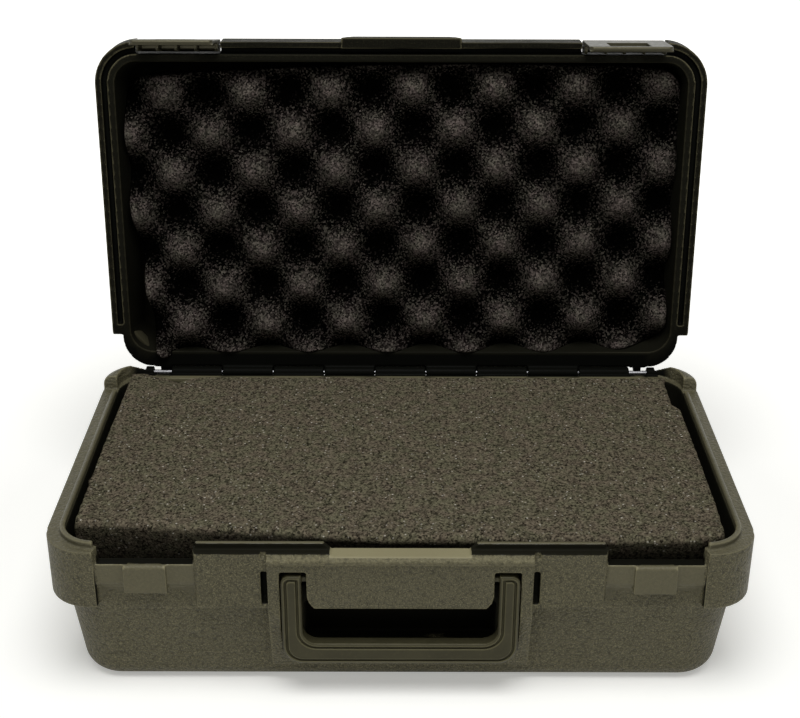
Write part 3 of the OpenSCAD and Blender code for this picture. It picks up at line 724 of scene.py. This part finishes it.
def block_ends(x):
    """Front and rear of the foam block's top at a place x: the rear has a notch and a longer left corner."""
    notch = 3.8 * swell(x + 154, 8.0)
    rear = BLOCK_REAR - notch + 5.0 * step_up(-x, 168, 178)
    rough = 0.4 * noise.noise(Vector((x * 0.15, 0.0, 7.0)))
    return along(BLOCK_FRONT, x) + rough, rear + rough


def block_top(u, v):
    """Top of the block, with its edges rounded and its dents."""
    start, reach = -98, 200
    side_round, front_round = 2.2, 4.0
    y = start + reach * v
    left, right = block_sides(y)
    x = left + (right - left) * u
    front, rear = block_ends(x)
    y = front + (rear - front) * v
    drop = rounding(min(x - left, right - x, rear - y), side_round) + rounding(y - front, front_round)
    for dent_x, dent_y, wide, deep, depth in BLOCK_DENTS:
        drop += depth * swell(math.hypot((x - dent_x) / wide, (y - dent_y) / deep), 1.0)
    wavy = 0.5 * noise.noise(Vector((x * 0.03, y * 0.03, 1.0)))
    return x, y, BLOCK_TOP - drop + wavy


def block_bottom(u, v):
    """Underside of the block: it leans in as the cavity does, and clears the finger pocket's wall."""
    room_top, room_hw, room_back = 67.0, 59.5, -87.5
    lean = (RIM - BLOCK_FOOT) * CAVITY_SLOPE + 5.0
    x = (CAVITY_HW - lean) * (2 * u - 1)
    y = (CAVITY_HD - lean) * (2 * v - 1)
    in_room = abs(x) < room_hw and y < room_back
    return x, y, room_top if in_room else BLOCK_FOOT


def block_shade(co):
    """The block's top is pale, its sides are darker, and below the rim they are black."""
    z = co.z / MM
    side = 0.32 + 0.23 * step_up(-co.x / MM, 40, 90)
    paler = side + (1 - side) * step_up(z, BLOCK_TOP - 4.5, BLOCK_TOP - 1.2)
    return paler * step_up(z, BLOCK_TOP - 19, BLOCK_TOP - 13)


def foam_block():
    nx, ny = grid_steps(260, 150)
    piece = grid_block("pluck_foam_block", nx, ny, block_top, block_bottom, BLOCK_FOAM, Matrix.Identity(4))
    paint(piece, shade=block_shade)
    settle(piece, "base", "soft_foam", "pluck_foam")
    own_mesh(piece)


def pad_foam():
    """Thin pad under the block."""
    edge_round, inset = 1.5, 3.0
    nx, ny = 60, 36
    lo, hi = (Vector(corner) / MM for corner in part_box("base_pad_foam"))

    def top(u, v):
        x, y = lo.x + (hi.x - lo.x) * u, lo.y + (hi.y - lo.y) * v
        return x, y, hi.z - rounding(min(x - lo.x, hi.x - x, y - lo.y, hi.y - y), edge_round)

    def bottom(u, v):
        x = (lo.x + inset) + (hi.x - lo.x - 2 * inset) * u
        y = (lo.y + inset) + (hi.y - lo.y - 2 * inset) * v
        return x, y, lo.z

    piece = grid_block("base_pad", nx, ny, top, bottom, BLOCK_FOAM, Matrix.Identity(4))
    paint(piece, shade=lambda co: 1.0)
    settle(piece, "base", "soft_foam", "base_pad_foam")


# Convoluted foam, in the closed lid's frame and in millimetres: its back, its thickness in a hollow, the
# height of a peak over a hollow, the start and depth of the sheet, the spacing, place and slant of the waves,
# and how far the sheet stands forward along the hinge, as (x, distance)
CRATE_BACK = max((CLOSE_LID @ v.co).z for v in frame["nodes"]["lid_foam"].data.vertices) / MM
CRATE_BASE = 14.5
CRATE_PEAK = 17.0
CRATE_START, CRATE_DEPTH = -97, 198
CRATE_PITCH = 54.7
CRATE_ROW = 26.9
CRATE_X0, CRATE_Y0 = 7.66, -81.2
CRATE_SKEW_X, CRATE_SKEW_Y = 0.057, 0.023
CRATE_BULGE = ((-170, 13.0), (-140, 11.0), (-100, 8.0), (60, 7.5), (140, 3.5), (172, 0.0))


def crate_bulge(x, y):
    """How far the sheet stands forward near the hinge, where it is pushed up by the base's rear wall."""
    return along(CRATE_BULGE, x) * step_up(y, 35, 100)


def crate_share(x, y):
    """Height of the waves as a share of a peak's height."""
    seen_shift = 0.375
    across, down = x - CRATE_X0, y - CRATE_Y0 + seen_shift * crate_bulge(x, y)
    wave = math.cos(2 * math.pi * (across - CRATE_SKEW_X * down) / CRATE_PITCH)
    wave *= math.cos(math.pi * (down + CRATE_SKEW_Y * across) / CRATE_ROW)
    return (1 + wave) / 2


def crate_sides(y):
    """Left and right side of the sheet at a depth y. The left one slants inward towards the hinge."""
    slant, slant_from = 0.136, -10
    left = -184.0 + slant * max(0.0, y - slant_from)
    return left, 185.3


def crate_ends(x):
    """Front and rear of the sheet at a place x. The front one bows, and the rear left corner is longer."""
    bow, bow_x, bow_hw = 3.0, 50, 130
    front = -97.3 + bow * ((x - bow_x) / bow_hw) ** 2
    rear = 100.2 + 4.0 * step_up(-x, 125, 165) - 2.5 * step_up(x, 140, 175)
    return front, rear


def crate_inset(share, radius):
    """How far a rounded corner of the sheet stands in from its side, at a share of the sheet's depth."""
    return rounding(CRATE_DEPTH * min(share, 1 - share), radius)


def crate_front(u, v):
    """Waved front of the sheet. Its rear left corner is nearly square."""
    wide_round, tight_round, edge_round = 17.0, 6.0, 2.0
    y = CRATE_START + CRATE_DEPTH * v
    left, right = crate_sides(y)
    left += crate_inset(v, tight_round if v > 0.5 else wide_round)
    right -= crate_inset(v, wide_round)
    x = left + (right - left) * u
    front, rear = crate_ends(x)
    y = front + (rear - front) * v
    edge = rounding(min(x - left, right - x, y - front, rear - y), edge_round)
    height = CRATE_PEAK * crate_share(x, y) - edge
    return x, y, CRATE_BACK - CRATE_BASE - height - crate_bulge(x, y)


def crate_back(u, v):
    """Flat back of the sheet, inside the rounded edge of the lid's ceiling."""
    inset, back_round = 12.5, 12.0
    hw, hd = LID_CAVITY_HW - inset - crate_inset(v, back_round), LID_CAVITY_HD - inset
    return hw * (2 * u - 1), hd * (2 * v - 1), CRATE_BACK


def lid_foam():
    nx, ny = grid_steps(280, 160)
    piece = grid_block("lid_foam_sheet", nx, ny, crate_front, crate_back, LID_FOAM, OPEN_LID)

    def height(co):
        p = (CLOSE_LID @ co) / MM
        return crate_share(p.x, p.y)

    # The waves' height, which the material turns into painted light on the peaks and painted shade in the
    # hollows
    paint(piece, height=height)
    settle(piece, "lid", "soft_foam", "lid_foam")
    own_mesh(piece)


# Stage, light and camera

def seen_ray(tree):
    """1 for what the camera sees directly, in a reflection or through glass."""
    path = tree.nodes.new("ShaderNodeLightPath")
    total = path.outputs["Is Camera Ray"]
    for name in ("Is Glossy Ray", "Is Transmission Ray"):
        most = tree.nodes.new("ShaderNodeMath")
        most.operation = "MAXIMUM"
        tree.links.new(total, most.inputs[0])
        tree.links.new(path.outputs[name], most.inputs[1])
        total = most.outputs[0]
    return total


def stage():
    """Plain floor that looks white, and a little darker round the case."""
    floor_size = 14
    glow_from, glow_to = 0.3, 0.8
    near_glow, far_glow = 0.34, 1.0
    bpy.ops.mesh.primitive_plane_add(size=floor_size, location=(0, 0, 0))
    floor = bpy.context.object
    floor.name = "floor"
    n = Nodes("floor_white")
    n.shader.inputs["Base Color"].default_value = (0.90, 0.90, 0.875, 1)
    n.shader.inputs["Roughness"].default_value = 0.9
    n.shader.inputs["Specular IOR Level"].default_value = 0.1
    n.shader.inputs["Emission Color"].default_value = (1.0, 1.0, 0.97, 1)
    away = n.add("ShaderNodeVectorMath", operation="LENGTH")
    n.link(n.place(), away.inputs[0])
    lift = n.spread(away.outputs["Value"], glow_from, glow_to, near_glow, far_glow)
    n.link(n.math("MULTIPLY", seen_ray(n.tree), lift), n.shader.inputs["Emission Strength"])
    floor.data.materials.append(n.material)


def area_lamp(name, at, target, size, watts):
    data = bpy.data.lights.new(name, "AREA")
    data.shape = "DISK"
    data.size = size
    data.energy = watts
    lamp = bpy.data.objects.new(name, data)
    bpy.context.scene.collection.objects.link(lamp)
    lamp.location = at
    lamp.rotation_euler = (Vector(target) - Vector(at)).to_track_quat("-Z", "Y").to_euler()


def lights():
    world = bpy.data.worlds.new("studio")
    bpy.context.scene.world = world
    world.use_nodes = True
    tree = world.node_tree
    ambient = tree.nodes["Background"]
    ambient.inputs["Color"].default_value = (1.0, 0.995, 0.97, 1)
    ambient.inputs["Strength"].default_value = 0.22
    white = tree.nodes.new("ShaderNodeBackground")
    white.inputs["Color"].default_value = (1.0, 1.0, 0.985, 1)
    white.inputs["Strength"].default_value = 1.0
    mix = tree.nodes.new("ShaderNodeMixShader")
    tree.links.new(seen_ray(tree), mix.inputs[0])
    tree.links.new(ambient.outputs[0], mix.inputs[1])
    tree.links.new(white.outputs[0], mix.inputs[2])
    tree.links.new(mix.outputs[0], tree.nodes["World Output"].inputs[0])
    area_lamp("overhead", (0.0, -0.40, 1.35), (0, 0, 0.1), size=0.9, watts=13)


def camera():
    data = bpy.data.cameras.new("camera")
    data.sensor_width = SENSOR_MM
    data.sensor_fit = "HORIZONTAL"
    data.lens = FOCAL_PX / IMAGE_W * SENSOR_MM
    data.clip_start = 0.01
    seen = bpy.data.objects.new("camera", data)
    bpy.context.scene.collection.objects.link(seen)
    turn = Matrix.Rotation(math.radians(CAMERA_YAW), 4, "Z")
    turn = turn @ Matrix.Rotation(math.radians(90 - CAMERA_PITCH), 4, "X")
    turn = turn @ Matrix.Rotation(math.radians(CAMERA_ROLL), 4, "Z")
    seen.matrix_world = Matrix.Translation(CAMERA_AT) @ turn
    bpy.context.scene.camera = seen


bpy.context.scene.view_settings.view_transform = "Standard"
camera()
lights()
stage()
shells()
moving_parts()
steel_parts()
lid_gusset()
lid_lips()
pad_foam()
foam_block()
lid_foam()
